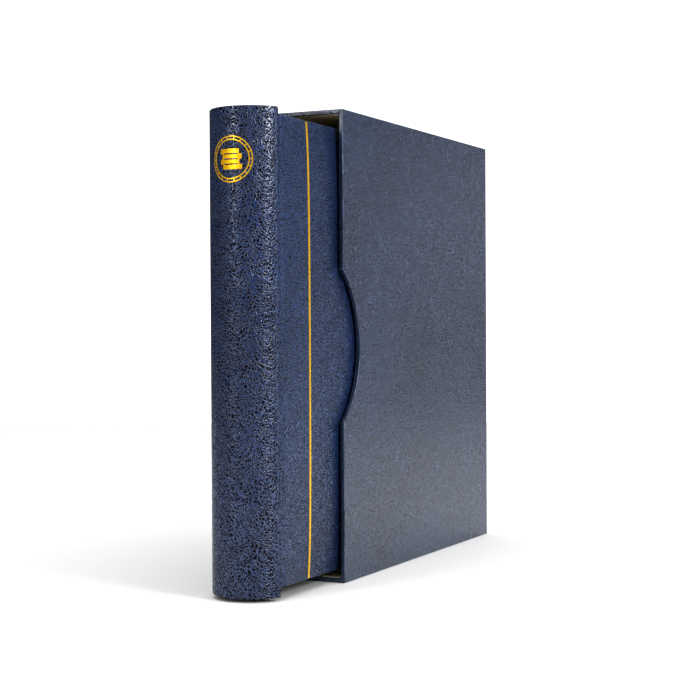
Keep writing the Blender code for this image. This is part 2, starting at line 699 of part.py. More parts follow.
def coin_leaf(name, y):
    """Two clear films welded round pockets: a plain back film and a front film with open slits."""
    left = leaf_left(y)
    outlines = leaf_outlines(y, left)
    sheet_xz(f"{name}_back_film", outlines, y + GAP / 2, y + GAP / 2 + FILM, FILM_LOOK)
    sheet_xz(f"{name}_front_film", outlines + pocket_slits(left), y - GAP / 2 - FILM, y - GAP / 2, FILM_LOOK)


def leaves():
    """A title card, then coin leaves with a dark card between each two."""
    title_y = -3 * LEAF_SPACING
    sheet_xz("title_leaf", leaf_outlines(title_y, leaf_left(title_y)), title_y - CARD / 2, title_y + CARD / 2,
             (CREAM, 0.8))
    for i in range(3):
        coin_leaf(f"coin_leaf_{i + 1}", (2 * i - 2) * LEAF_SPACING)
    for i in range(2):
        y = (2 * i - 1) * LEAF_SPACING
        sheet_xz(f"interleaf_{i + 1}", leaf_outlines(y, leaf_left(y)), y - CARD / 2, y + CARD / 2,
                 (BLACK_CARD, 0.8))


# ---------------------------------------------------------------- build
clear_scene()
PARTS = new_collection("coin_album")
CUTTERS = new_collection("cutters")
for side_name, side_sign in SIDES:
    slipcase_side(side_name, side_sign)
slipcase_gusset()
spine()
spine_emblem()
for side_name, side_sign in SIDES:
    cover_hinge(side_name, side_sign, cover(side_name, side_sign))
ring_mechanism()
leaves()
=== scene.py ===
"""Looks of the coin album: leatherette, padded covers, foil, paper, film and steel round the CAD frame.

Metres, +Z up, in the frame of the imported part: the slipcase opens towards -X, the front cover is on
the -Y side, and the album slides along X.  Every place comes from the frame's own boxes.
"""

import json
from math import asin, atan2, cos, pi, radians, sin, sqrt

import bmesh
import bpy
import numpy as np
from mathutils import Matrix, Vector

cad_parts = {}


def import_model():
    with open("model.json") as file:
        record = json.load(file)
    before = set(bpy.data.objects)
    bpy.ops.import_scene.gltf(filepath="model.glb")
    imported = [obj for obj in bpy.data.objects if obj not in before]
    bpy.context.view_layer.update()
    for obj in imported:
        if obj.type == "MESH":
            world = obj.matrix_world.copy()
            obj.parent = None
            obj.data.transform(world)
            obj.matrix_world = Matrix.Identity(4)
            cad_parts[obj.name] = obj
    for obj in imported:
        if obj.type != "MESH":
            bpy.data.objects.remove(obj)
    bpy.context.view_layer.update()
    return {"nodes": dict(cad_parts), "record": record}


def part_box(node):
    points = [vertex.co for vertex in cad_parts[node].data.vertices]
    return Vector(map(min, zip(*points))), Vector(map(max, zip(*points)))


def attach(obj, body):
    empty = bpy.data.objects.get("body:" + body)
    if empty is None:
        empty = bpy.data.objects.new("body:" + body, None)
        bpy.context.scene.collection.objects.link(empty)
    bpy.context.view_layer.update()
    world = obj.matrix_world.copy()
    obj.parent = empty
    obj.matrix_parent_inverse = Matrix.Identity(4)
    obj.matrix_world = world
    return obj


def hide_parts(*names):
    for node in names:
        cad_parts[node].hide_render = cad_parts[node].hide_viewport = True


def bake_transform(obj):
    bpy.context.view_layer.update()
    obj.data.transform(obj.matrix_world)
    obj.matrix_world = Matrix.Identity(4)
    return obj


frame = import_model()

SIDES = (("front", -1), ("rear", 1))
MM = 0.001

# ---------------------------------------------------------------- sizes that only the looks need
PAST = 10 * MM               # how far a cutter reaches beyond what it cuts
SKIN = 0.65 * MM             # leatherette with its glue, where it wraps a board
CASE_ARRIS = 0.8 * MM        # radius of the slipcase's wrapped edges
CASE_WEAR_AND_HIGHLIGHT = 1.6 * MM         # the slipcase's edges are painted lighter this far in: rubbed wear, and a painted highlight along the arrises
NOTCH_CORNER = 4.0 * MM      # radius where the thumb notch runs into the mouth
SPINE_ARRIS = 1.2 * MM
PAD_RISE = 2.2 * MM          # a cover's padding stands this much higher in the middle than at its edges
PAD_ARRIS = 0.9 * MM         # radius of a cover's outer edge, below its padding
PAD_GROOVE = 0.15 * MM       # the foil is stamped this deep into the padding
PAD_CELL = 2.9 * MM
FREE_SHARE = 0.30            # the foam caps its skin softly at this share of the skin's free height
TURN_IN = 14.0 * MM          # leatherette turned in under the endpaper
FOIL_LIFT = 0.06 * MM
RING_FOOT = 5.0 * MM         # a ring's foot stands this far from the middle plane
RING_GAP = 0.45 * MM         # half the gap between two closed tips
POCKET_COLUMNS, POCKET_ROWS = 3, 4
LEAF_BINDING = 22.0 * MM     # margin of a leaf for the rings
WELD_WIDTH = 1.2 * MM


# ---------------------------------------------------------------- places read from the frame
def box_of(*names):
    """The box round several CAD nodes."""
    lows, highs = zip(*(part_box(name) for name in names))
    low = Vector([min(corner[i] for corner in lows) for i in range(3)])
    high = Vector([max(corner[i] for corner in highs) for i in range(3)])
    return low, high


CASE_SKINS = [f"slipcase_{wall}_leatherette" for wall in ("front", "rear", "top", "bottom", "back")]
CASE_LOW, CASE_HIGH = box_of(*CASE_SKINS)
CASE_WALL = CASE_HIGH.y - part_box("slipcase_rear_lining")[0].y
SPINE_LOW, SPINE_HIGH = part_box("spine_leatherette")
SPINE_HALF = SPINE_HIGH.y
COVER_LOW, COVER_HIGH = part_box("rear_cover_leatherette")
COVER_OUT, COVER_IN = COVER_HIGH.y, COVER_LOW.y


def arc(centre, radius, start, end, steps):
    return [(centre[0] + radius * cos(start + (end - start) * i / steps),
             centre[1] + radius * sin(start + (end - start) * i / steps)) for i in range(steps + 1)]


# ---------------------------------------------------------------- mesh helpers
def new_object(name, mesh):
    obj = bpy.data.objects.new(name, mesh)
    bpy.context.scene.collection.objects.link(obj)
    return obj


def mesh_object(name, verts, faces):
    mesh = bpy.data.meshes.new(name)
    mesh.from_pydata(verts, [], faces)
    bm = bmesh.new()
    bm.from_mesh(mesh)
    bmesh.ops.recalc_face_normals(bm, faces=bm.faces)
    bm.to_mesh(mesh)
    bm.free()
    return new_object(name, mesh)


def lattice(rows, count, closed):
    """Four-sided faces between successive rows of count vertices each; closed joins each row's ends."""
    faces = []
    for k in range(rows - 1):
        for i in range(count if closed else count - 1):
            here, after = k * count + i, k * count + (i + 1) % count
            faces.append((here, after, after + count, here + count))
    return faces


def prism(name, outline, low, high, plane):
    """A straight solid: the outline lies in plane "xz" or "xy" and runs from low to high across it."""
    def place(u, v, w):
        return (u, w, v) if plane == "xz" else (u, v, w)

    count = len(outline)
    verts = [place(u, v, w) for w in (low, high) for u, v in outline]
    ends = [tuple(range(count)), tuple(range(2 * count - 1, count - 1, -1))]
    return mesh_object(name, verts, ends + lattice(2, count, closed=True))


def block(name, low, high):
    outline = [(low[0], low[2]), (high[0], low[2]), (high[0], high[2]), (low[0], high[2])]
    return prism(name, outline, low[1], high[1], "xz")


def bake(obj):
    """Apply an object's modifiers."""
    graph = bpy.context.evaluated_depsgraph_get()
    mesh = bpy.data.meshes.new_from_object(obj.evaluated_get(graph))
    obj.modifiers.clear()
    obj.data = mesh


def cut(obj, *cutters):
    """Take the cutters out of a solid, and remove them."""
    for cutter in cutters:
        mod = obj.modifiers.new("cut", "BOOLEAN")
        mod.operation = "DIFFERENCE"
        mod.object = cutter
    bake(obj)
    for cutter in cutters:
        bpy.data.objects.remove(cutter, do_unlink=True)


def round_edges(obj, width, segments):
    mod = obj.modifiers.new("arris", "BEVEL")
    mod.width = width
    mod.segments = segments
    mod.limit_method = "ANGLE"
    mod.angle_limit = radians(30)
    bake(obj)


def shade(obj, angle=radians(34), weighted=True):
    """Smooth shading with sharp corners kept, and large flat faces kept flat."""
    obj.data.shade_smooth()
    obj.data.set_sharp_from_angle(angle=angle)
    if weighted:
        mod = obj.modifiers.new("normals", "WEIGHTED_NORMAL")
        mod.keep_sharp = True
        mod.weight = 100
        bake(obj)


def dress(obj, slot, ride=None, replaces=(), look=None):
    """Give a new piece the material of its record slot, or its own, attach it to its body, and hide the CAD
    nodes that it stands for."""
    obj.data.materials.clear()
    obj.data.materials.append(look or MATERIALS[slot])
    if replaces:
        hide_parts(*replaces)
    if ride:
        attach(obj, ride)


# ---------------------------------------------------------------- material helpers
class Look:
    """A Principled material with short calls for its nodes."""

    def __init__(self, name, **sockets):
        self.material = bpy.data.materials.new(name)
        self.material.use_nodes = True
        self.tree = self.material.node_tree
        self.shader = self.tree.nodes["Principled BSDF"]
        self.coords = self.tree.nodes.new("ShaderNodeTexCoord").outputs["Object"]
        for socket, value in sockets.items():
            self.shader.inputs[socket.replace("_", " ")].default_value = value

    def node(self, kind, inputs=(), **settings):
        node = self.tree.nodes.new("ShaderNode" + kind)
        for name, value in settings.items():
            setattr(node, name, value)
        for socket, value in dict(inputs).items():
            self.feed(node.inputs[socket], value)
        return node

    def feed(self, socket, value):
        if isinstance(value, bpy.types.NodeSocket):
            self.tree.links.new(value, socket)
        else:
            socket.default_value = value

    def noise(self, scale, detail=3.0, roughness=0.5, coords=None):
        inputs = {"Vector": coords or self.coords, "Scale": scale, "Detail": detail, "Roughness": roughness}
        return self.node("TexNoise", inputs).outputs["Fac"]

    def math(self, operation, a, b=0.0, clamp=False):
        return self.node("Math", {0: a, 1: b}, operation=operation, use_clamp=clamp).outputs[0]

    def spread(self, value, low, high, to_low=0.0, to_high=1.0, **settings):
        """The value moved from one range to another, and kept inside it."""
        inputs = {"Value": value, "From Min": low, "From Max": high, "To Min": to_low, "To Max": to_high}
        return self.node("MapRange", inputs, **settings).outputs["Result"]

    def ramp(self, factor, stops):
        node = self.node("ValToRGB", {"Fac": factor})
        elements = node.color_ramp.elements
        while len(elements) < len(stops):
            elements.new(0.5)
        for element, (place, colour) in zip(elements, stops):
            element.position = place
            element.color = (*colour, 1.0)
        return node.outputs["Color"]

    def mix(self, factor, a, b, blend="MIX"):
        node = self.node("Mix", {"Factor": factor}, data_type="RGBA", blend_type=blend)
        self.feed(node.inputs[6], a)
        self.feed(node.inputs[7], b)
        return node.outputs[2]

    def grey(self, value):
        return self.node("CombineColor", {0: value, 1: value, 2: value}).outputs[0]

    def stretched(self, x, y, z):
        """Coordinates with another scale along each axis."""
        return self.node("VectorMath", {0: self.coords, 1: (x, y, z)}, operation="MULTIPLY").outputs[0]

    def colour(self, value):
        self.feed(self.shader.inputs["Base Color"], value)

    def roughness(self, value):
        self.feed(self.shader.inputs["Roughness"], value)

    def bump(self, height, distance, strength=1.0):
        node = self.node("Bump", {"Height": height, "Distance": distance, "Strength": strength})
        self.feed(self.shader.inputs["Normal"], node.outputs["Normal"])


def box_edge_wear_and_highlight(look, low, high, reach):
    """1 along a box's edges and 0 away from them, broken up by noise: where edges are painted lighter, for
    rubbed wear and a painted highlight along the arrises.
    """
    middle, half = (low + high) / 2, (high - low) / 2
    offset = look.node("VectorMath", {0: look.coords, 1: middle}, operation="SUBTRACT").outputs[0]
    offset = look.node("VectorMath", {0: offset}, operation="ABSOLUTE").outputs[0]
    offset = look.node("VectorMath", {0: offset, 1: half}, operation="SUBTRACT").outputs[0]
    a, b, c = look.node("SeparateXYZ", {0: offset}).outputs
    pairs = [look.math("MINIMUM", p, q) for p, q in ((a, b), (b, c), (a, c))]
    second = look.math("MAXIMUM", look.math("MAXIMUM", pairs[0], pairs[1]), pairs[2])
    edge = look.spread(second, -reach, 0.0)
    patches = look.spread(look.noise(60.0, 4.0), 0.42, 0.62)
    return look.math("MULTIPLY", edge, patches, clamp=True)


def leatherette(name, pitch, colours, gloss, relief, shine, worn_and_highlit_edges=None):
    """Embossed two-tone leatherette: a raised, swirling network of crinkles round dark pits.  colours run
    from the crests down to the pits; gloss and shine are the roughness and the specular level of crests and
    pits; relief is the crests' height; worn_and_highlit_edges is the box whose edges are painted lighter, and
    how far in: rubbed wear together with a painted highlight along the arrises."""
    look = Look(name, IOR=1.6)
    drift = look.node("TexNoise", {"Vector": look.coords, "Scale": 0.12 / pitch, "Detail": 1.0})
    swirled = look.node("VectorMath", {0: drift.outputs["Color"], 1: (4.6 * pitch,) * 3, 2: look.coords},
                        operation="MULTIPLY_ADD").outputs[0]
    network = look.node("TexVoronoi", {"Vector": swirled, "Scale": 1.0 / pitch}, feature="DISTANCE_TO_EDGE")
    pores = look.noise(1.7 / pitch, 1.5, 0.5, swirled)
    depth = look.math("ADD", network.outputs["Distance"], look.spread(pores, 0.3, 0.7, -0.11, 0.13))
    tint = look.ramp(depth, list(zip((0.02, 0.13, 0.27, 0.40), colours)))
    patches = look.spread(look.noise(9.0, 4.0, 0.6), 0.3, 0.7, 0.75, 1.2)
    tint = look.mix(1.0, tint, look.grey(patches), "MULTIPLY")
    # edges painted lighter: partly rubbed wear, partly a painted highlight standing in for light caught on
    # the arrises
    if worn_and_highlit_edges:
        rubbed_and_highlit = [1.8 * channel + 0.035 for channel in colours[1]]
        tint = look.mix(box_edge_wear_and_highlight(look, *worn_and_highlit_edges), tint, (*rubbed_and_highlit, 1.0))
    look.colour(tint)
    look.roughness(look.spread(depth, 0.0, 0.3, *gloss))
    look.feed(look.shader.inputs["Specular IOR Level"], look.spread(depth, 0.05, 0.32, *shine))
    crest = look.spread(depth, 0.0, 0.34, 1.0, 0.0, interpolation_type="SMOOTHSTEP")
    look.bump(crest, relief)
    return look.material


# colours from the crests down to the pits
# the spine's tones are a darker copy of the cover's: painted shade for the spine's face, which turns away
# from the lamps
SHADED_SPINE_TONES = ((0.016, 0.046, 0.145), (0.007, 0.018, 0.058), (0.002, 0.004, 0.013), (0.004, 0.002, 0.003))
COVER_TONES = ((0.030, 0.070, 0.185), (0.012, 0.029, 0.080), (0.002, 0.004, 0.010), (0.006, 0.002, 0.002))
CASE_TONES = ((0.036, 0.066, 0.148), (0.017, 0.032, 0.072), (0.004, 0.006, 0.014), (0.006, 0.003, 0.003))


def paper(name, tone, fibre=0.05, warmth=(1.0, 0.96, 0.88)):
    """Matt paper with short fibres and faint clouds."""
    look = Look(name, Roughness=0.9, Specular_IOR_Level=0.25)
    fibres = look.noise(1400.0, 3.0, 0.7, look.stretched(1.0, 1.0, 0.25))
    clouds = look.noise(24.0, 4.0, 0.6)
    pale = tuple(tone[i] * (1.0 - 0.4 * fibre) for i in range(3))
    deep = tuple(tone[i] * warmth[i] * (1.0 - 2.2 * fibre) for i in range(3))
    mottle = look.math("ADD", look.math("MULTIPLY", fibres, 0.6), look.math("MULTIPLY", clouds, 0.4))
    look.colour(look.ramp(mottle, [(0.32, deep), (0.68, pale)]))
    look.bump(fibres, 0.03 * MM)
    return look.material


def grey_board():
    """Pressed grey board, flecked with fibres of other shades."""
    look = Look("grey_board", Roughness=0.92, Specular_IOR_Level=0.2)
    flecks = look.noise(900.0, 5.0, 0.75)
    shades = [(0.35, (0.16, 0.15, 0.13)), (0.55, (0.33, 0.31, 0.28)), (0.75, (0.46, 0.44, 0.40))]
    look.colour(look.ramp(flecks, shades))
    look.bump(flecks, 0.06 * MM)
    return look.material


def gold_foil():
    """Hot-stamped foil: bright metal with the leatherette's grain faintly showing through."""
    look = Look("gold_foil", Metallic=0.6)
    grain = look.noise(750.0, 3.0, 0.6)
    golds = [(0.30, (0.78, 0.42, 0.012)), (0.52, (0.95, 0.58, 0.02)), (0.72, (1.0, 0.72, 0.05))]
    look.colour(look.ramp(grain, golds))
    look.roughness(look.spread(grain, 0.3, 0.7, 0.42, 0.26))
    look.bump(grain, 0.10 * MM)
    return look.material


def plated_steel():
    """Nickel-plated steel with faint upright drawing lines."""
    look = Look("plated_steel", Metallic=1.0)
    lines = look.noise(30.0, 4.0, 0.6, look.stretched(60.0, 60.0, 2.0))
    stains = look.noise(40.0, 4.0)
    look.colour(look.ramp(stains, [(0.3, (0.55, 0.55, 0.56)), (0.7, (0.72, 0.72, 0.71))]))
    look.roughness(look.spread(lines, 0.3, 0.7, 0.14, 0.30))
    look.bump(lines, 0.004 * MM)
    return look.material


def clear_film():
    """Soft clear film: slightly wavy, with a faint cool tint and a few scuffs."""
    look = Look("clear_film", Transmission_Weight=1.0, IOR=1.25)
    scuffs = look.noise(420.0, 5.0, 0.75, look.stretched(1.0, 1.0, 0.3))
    waves = look.noise(28.0, 2.0)
    look.colour(look.ramp(waves, [(0.3, (0.90, 0.93, 0.94)), (0.7, (0.97, 0.98, 0.98))]))
    look.roughness(look.spread(scuffs, 0.50, 0.75, 0.05, 0.30))
    look.bump(waves, 0.8 * MM)
    return look.material


def frosted_weld():
    """Film fused in a welded seam: a finely pitted, frosted band."""
    look = Look("frosted_weld", Transmission_Weight=0.55, IOR=1.3, Roughness=0.45)
    cells = look.node("TexVoronoi", {"Vector": look.coords, "Scale": 1600.0}, feature="F1")
    hatch = cells.outputs["Distance"]
    look.colour(look.ramp(hatch, [(0.1, (0.80, 0.83, 0.85)), (0.6, (0.94, 0.95, 0.96))]))
    look.bump(hatch, 0.08 * MM)
    return look.material


MATERIALS = {
    "spine_leatherette": leatherette(
        "spine_leatherette", 1.9 * MM, SHADED_SPINE_TONES, gloss=(0.22, 0.38), relief=0.20 * MM, shine=(0.85, 0.12)),
    "cover_leatherette": leatherette(
        "cover_leatherette", 1.5 * MM, COVER_TONES, gloss=(0.26, 0.40), relief=0.13 * MM, shine=(0.9, 0.2)),
    "slipcase_leatherette": leatherette(
        "slipcase_leatherette", 1.5 * MM, CASE_TONES, gloss=(0.20, 0.30), relief=0.06 * MM, shine=(1.0, 0.45),
        worn_and_highlit_edges=(CASE_LOW, CASE_HIGH, CASE_WEAR_AND_HIGHLIGHT)),
    "slipcase_lining": paper("slipcase_lining", (0.95, 0.88, 0.68), 0.03),
    "endpaper": paper("endpaper", (0.60, 0.545, 0.425)),
    "grey_board": grey_board(),
    "gold_foil": gold_foil(),
    "clear_film": clear_film(),
    "dark_card": paper("dark_card", (0.024, 0.024, 0.027), 0.12, (1.0, 1.0, 1.0)),
    "title_card": paper("title_card", (0.66, 0.635, 0.575), 0.03),
    "plated_steel": plated_steel(),
}
WELD = frosted_weld()


# ---------------------------------------------------------------- slipcase
def notch_outline(outset, corner):
    """The thumb notch as an outline in (x, z) that starts outside the mouth.  outset widens it, and
    corner rounds the place where it runs into the mouth."""
    low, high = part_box("slipcase_front_leatherette")
    mouth = low.x
    # the notch's chord and depth, from the wall's own vertices away from its four corners
    corner_zone = 20 * MM
    points = [vertex.co for vertex in frame["nodes"]["slipcase_front_leatherette"].data.vertices]
    notch = [point for point in points
             if low.z + corner_zone < point.z < high.z - corner_zone and point.y < low.y + 0.1 * MM]
    half_chord = max(abs(point.z - (low.z + high.z) / 2) for point in notch)
    depth = max(point.x for point in notch) - mouth
    radius = (half_chord ** 2 + depth ** 2) / (2 * depth)
    centre = (mouth + depth - radius, (low.z + high.z) / 2)
    radius += outset
    edge = mouth + outset
    if not corner:
        half_angle = asin(sqrt(radius ** 2 - (edge - centre[0]) ** 2) / radius)
        points = arc(centre, radius, half_angle, -half_angle, 48)
        return [(mouth - PAST, points[0][1]), *points, (mouth - PAST, points[-1][1])]
    reach = sqrt((radius + corner) ** 2 - (edge + corner - centre[0]) ** 2)
    half_angle = atan2(reach, edge + corner - centre[0])
    points = arc(centre, radius, half_angle, -half_angle, 48)
    upper = arc((edge + corner, centre[1] + reach), corner, pi, pi + half_angle, 8)
    lower = arc((edge + corner, centre[1] - reach), corner, pi - half_angle, pi, 8)
    return [(mouth - PAST, upper[0][1]), *upper, *points[1:-1], *lower, (mouth - PAST, lower[-1][1])]


def slipcase_wrap():
    """Leatherette round the five walls: turned in round the mouth and the notches, soft at every arris,
    and hollow where the boards and linings lie."""
    low, high, wall = CASE_LOW, CASE_HIGH, CASE_WALL
    inward = Vector((0.0, 1.0, 1.0))
    wrap = block("slipcase_wrap", low, high)
    cavity = block("cavity", low + inward * wall - Vector((PAST, 0, 0)), high - Vector((wall,) * 3))
    notch = prism("notch", notch_outline(0.0, NOTCH_CORNER), low.y - PAST, high.y + PAST, "xz")
    cut(wrap, cavity, notch)
    round_edges(wrap, CASE_ARRIS, 3)
    boards = block("boards", low + Vector((SKIN,) * 3), high - Vector((SKIN,) * 3))
    rims = [
        prism("rim", notch_outline(SKIN, 0.0), *sorted((side * high.y, side * (high.y - wall))), "xz")
        for side in (-1, 1)
    ]
    cut(boards, *rims)
    cut(wrap, boards)
    shade(wrap)
    dress(wrap, "slipcase_leatherette", "slipcase", CASE_SKINS)


# ---------------------------------------------------------------- spine
def spine_circle():
    """Centre x and radius of the spine's outer face."""
    points = [vertex.co for vertex in frame["nodes"]["spine_leatherette"].data.vertices]
    edge = max(point.x for point in points if abs(point.y) > SPINE_HALF - 0.01 * MM)
    bulge = edge - SPINE_LOW.x
    radius = (SPINE_HALF ** 2 + bulge ** 2) / (2 * bulge)
    return SPINE_LOW.x + radius, radius


SPINE_CENTRE, SPINE_RADIUS = spine_circle()


def spine_slab(name, outer, inner, end, low, high):
    """An arched slab between two depths below the spine's outer face, short of its long edges by end."""
    steps = 72
    half = asin(SPINE_HALF / SPINE_RADIUS) - end / SPINE_RADIUS
    outline = arc((SPINE_CENTRE, 0.0), SPINE_RADIUS - outer, pi - half, pi + half, steps)
    outline += arc((SPINE_CENTRE, 0.0), SPINE_RADIUS - inner, pi + half, pi - half, steps)
    return prism(name, outline, low, high, "xy")


def spine_wrap():
    """Leatherette round the spine's board, turned in along its four edges."""
    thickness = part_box("spine_lining")[0].x - SPINE_LOW.x + 0.4 * MM
    wrap = spine_slab("spine_wrap", 0.0, thickness, 0.0, SPINE_LOW.z, SPINE_HIGH.z)
    round_edges(wrap, SPINE_ARRIS, 4)
    hollow = spine_slab("hollow", SKIN, thickness + 2 * MM, SKIN, SPINE_LOW.z + SKIN, SPINE_HIGH.z - SKIN)
    cut(wrap, hollow)
    shade(wrap, radians(40))
    dress(wrap, "spine_leatherette", "album", ["spine_leatherette"])


# ---------------------------------------------------------------- emblem
def emblem_outlines(radius, line):
    """The coin mark's closed outlines: a milled rim with windows, and a leaning stack of four coins."""
    ticks = 18
    window_out, window_in = radius - line, radius * 0.86
    sides = 144
    around = 2 * pi * (sides - 1) / sides
    rim = [arc((0, 0), reach, 0, around, sides - 1) for reach in (radius, window_in - line)]
    half_tick = line / radius / 2
    for i in range(ticks):
        start, end = 2 * pi * i / ticks + half_tick, 2 * pi * (i + 1) / ticks - half_tick
        rim.append([*arc((0, 0), window_out, start, end, 8), *arc((0, 0), window_in, end, start, 8)])
    half, thick, slit = radius * 0.46, radius * 0.22, radius * 0.32
    shifts = [radius * lean for lean in (0.07, -0.05, 0.05, -0.07)]
    floors = [(level - 2) * thick for level in range(4)]
    right = [(shift + half, floor + up) for shift, floor in zip(shifts, floors) for up in (0.0, thick)]
    left = [(shift - half, floor + up) for shift, floor in zip(shifts, floors) for up in (0.0, thick)]
    coins = [[*right, *reversed(left)]]
    for floor in floors[1:]:
        low, high = floor - line / 2, floor + line / 2
        coins.append([(-slit, low), (slit, low), (slit, high), (-slit, high)])
    return {"rim": rim, "coins": coins}


def flat_foil(outlines):
    """A thin flat mesh filling the outlines, with holes where one lies inside another."""
    curve = bpy.data.curves.new("foil", "CURVE")
    curve.dimensions = "2D"
    curve.fill_mode = "BOTH"
    curve.extrude = FOIL_LIFT
    for points in outlines:
        spline = curve.splines.new("POLY")
        spline.points.add(len(points) - 1)
        for point, (x, y) in zip(spline.points, points):
            point.co = (x, y, 0.0, 1.0)
        spline.use_cyclic_u = True
    flat = new_object("foil", curve)
    graph = bpy.context.evaluated_depsgraph_get()
    mesh = bpy.data.meshes.new_from_object(flat.evaluated_get(graph))
    bpy.data.objects.remove(flat, do_unlink=True)
    return mesh


def spine_emblem():
    """The coin mark in foil, cut into narrow upright strips and laid on the spine's curve."""
    low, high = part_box("spine_emblem_rim")
    height, radius = (low.z + high.z) / 2, (high.z - low.z) / 2
    strips, same = 28, 0.001 * MM
    for part, outlines in emblem_outlines(radius, 0.8 * MM).items():
        mesh = flat_foil(outlines)
        bm = bmesh.new()
        bm.from_mesh(mesh)
        bmesh.ops.remove_doubles(bm, verts=bm.verts, dist=same)
        for i in range(1, strips):
            place = radius * (2 * i / strips - 1) + 0.03 * MM
            geometry = [*bm.verts, *bm.edges, *bm.faces]
            bmesh.ops.bisect_plane(bm, geom=geometry, plane_co=(place, 0, 0), plane_no=(1, 0, 0), dist=same)
        bmesh.ops.recalc_face_normals(bm, faces=bm.faces)
        for vertex in bm.verts:
            across, up, out = vertex.co
            angle = across / SPINE_RADIUS
            reach = SPINE_RADIUS + out + 0.01 * MM
            vertex.co = (SPINE_CENTRE - reach * cos(angle), -reach * sin(angle), height + up)
        bm.to_mesh(mesh)
        bm.free()
        foil = new_object(f"emblem_{part}_foil", mesh)
        dress(foil, "gold_foil", "album", [f"spine_emblem_{part}"])


# ---------------------------------------------------------------- padded covers
class Pad:
    """The crowned outer face of a cover, as heights over an even grid in (x, z)."""

    def __init__(self):
        self.x0, self.x1 = COVER_LOW.x + PAD_ARRIS, COVER_HIGH.x - PAD_ARRIS
        self.z0, self.z1 = COVER_LOW.z + PAD_ARRIS, COVER_HIGH.z - PAD_ARRIS
        self.columns = round((self.x1 - self.x0) / PAD_CELL)
        self.rows = round((self.z1 - self.z0) / PAD_CELL)
        gold_low, gold_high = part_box("rear_cover_gold_line")
        self.gold = (gold_low.x + gold_high.x) / 2
        self.gold_width = gold_high.x - gold_low.x
        self.xs = np.linspace(self.x0, self.x1, self.columns + 1)
        self.zs = np.linspace(self.z0, self.z1, self.rows + 1)
        self.lift = self.swell()

    def swell(self):
        """Foam under a skin that is held along its four edges: it reaches its full height a short way in.
        The skin's shape is a cloth simulation's, capped softly at the foam's thickness."""
        rise = self.simulated()
        rise = PAD_RISE * np.tanh(rise)
        at_foil = np.exp(-((self.xs - self.gold) / (1.9 * MM)) ** 2)
        at_joint = np.exp(-((self.xs - self.x0) / (1.5 * MM)) ** 2)
        groove = at_foil + 0.8 * at_joint
        return rise - PAD_GROOVE * groove[:, None] * np.tanh(rise / (0.5 * MM))

    def simulated(self):
        """Heights of a cloth pressed outwards by the foam and pinned round its edge, as multiples of
        the height at which the foam caps them."""
        columns, rows, frames = self.columns, self.rows, 24
        verts = [(x, 0.0, z) for x in self.xs for z in self.zs]
        mesh = bpy.data.meshes.new("pad_cloth")
        mesh.from_pydata(verts, [], lattice(columns + 1, rows + 1, closed=False))
        cloth = new_object("pad_cloth", mesh)
        edge = [i * (rows + 1) + j for i in range(columns + 1) for j in range(rows + 1)
                if i in (0, columns) or j in (0, rows)]
        cloth.vertex_groups.new(name="held").add(edge, 1.0, "REPLACE")
        mod = cloth.modifiers.new("foam", "CLOTH")
        settings = mod.settings
        settings.quality = 6
        settings.mass = 0.3
        settings.tension_stiffness = settings.compression_stiffness = 25
        settings.bending_stiffness = 0.5
        settings.vertex_group_mass = "held"
        settings.use_pressure = True
        settings.uniform_pressure_force = 12.0
        settings.effector_weights.gravity = 0.0
        mod.point_cache.frame_start, mod.point_cache.frame_end = 1, frames
        scene = bpy.context.scene
        for number in range(1, frames + 1):
            scene.frame_set(number)
        graph = bpy.context.evaluated_depsgraph_get()
        swollen = bpy.data.meshes.new_from_object(cloth.evaluated_get(graph))
        heights = np.array([v.co.y for v in swollen.vertices]).reshape(columns + 1, rows + 1)
        bpy.data.objects.remove(cloth, do_unlink=True)
        bpy.data.meshes.remove(swollen)
        scene.frame_set(1)
        heights = np.abs(heights)
        return heights / (FREE_SHARE * heights.max())

    def at(self, x, z):
        """Distance of the face from the album's middle plane."""
        i = np.clip(np.interp(x, self.xs, np.arange(len(self.xs))), 0, self.columns - 1e-6)
        j = np.clip(np.interp(z, self.zs, np.arange(len(self.zs))), 0, self.rows - 1e-6)
        a, b, u, v = int(i), int(j), i % 1, j % 1
        lift = self.lift
        level = ((lift[a, b] * (1 - u) + lift[a + 1, b] * u) * (1 - v)
                 + (lift[a, b + 1] * (1 - u) + lift[a + 1, b + 1] * u) * v)
        return COVER_OUT - PAD_RISE + level


PAD = Pad()


def cover_rings():
    """The cover's section from the pad's edge round to the board: (inset from its outline, |y|)."""
    edge, inner = COVER_OUT - PAD_RISE, COVER_IN - 0.25 * MM
    inner_radius, sheet = 0.7 * MM, 0.2 * MM
    rings = [(PAD_ARRIS * (1 - sin(t)), edge - PAD_ARRIS * (1 - cos(t)))
             for t in (pi / 8, pi / 4, 3 * pi / 8, pi / 2)]
    rings += [(inner_radius * (1 - cos(t)), inner + inner_radius * (1 - sin(t)))
              for t in (0.0, pi / 6, pi / 3, pi / 2)]
    rings += [(TURN_IN, inner), (TURN_IN, inner + sheet), (SKIN, inner + sheet)]
    board_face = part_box("rear_cover_board")[1].y
    return rings + [(SKIN, board_face + 0.1 * MM)]


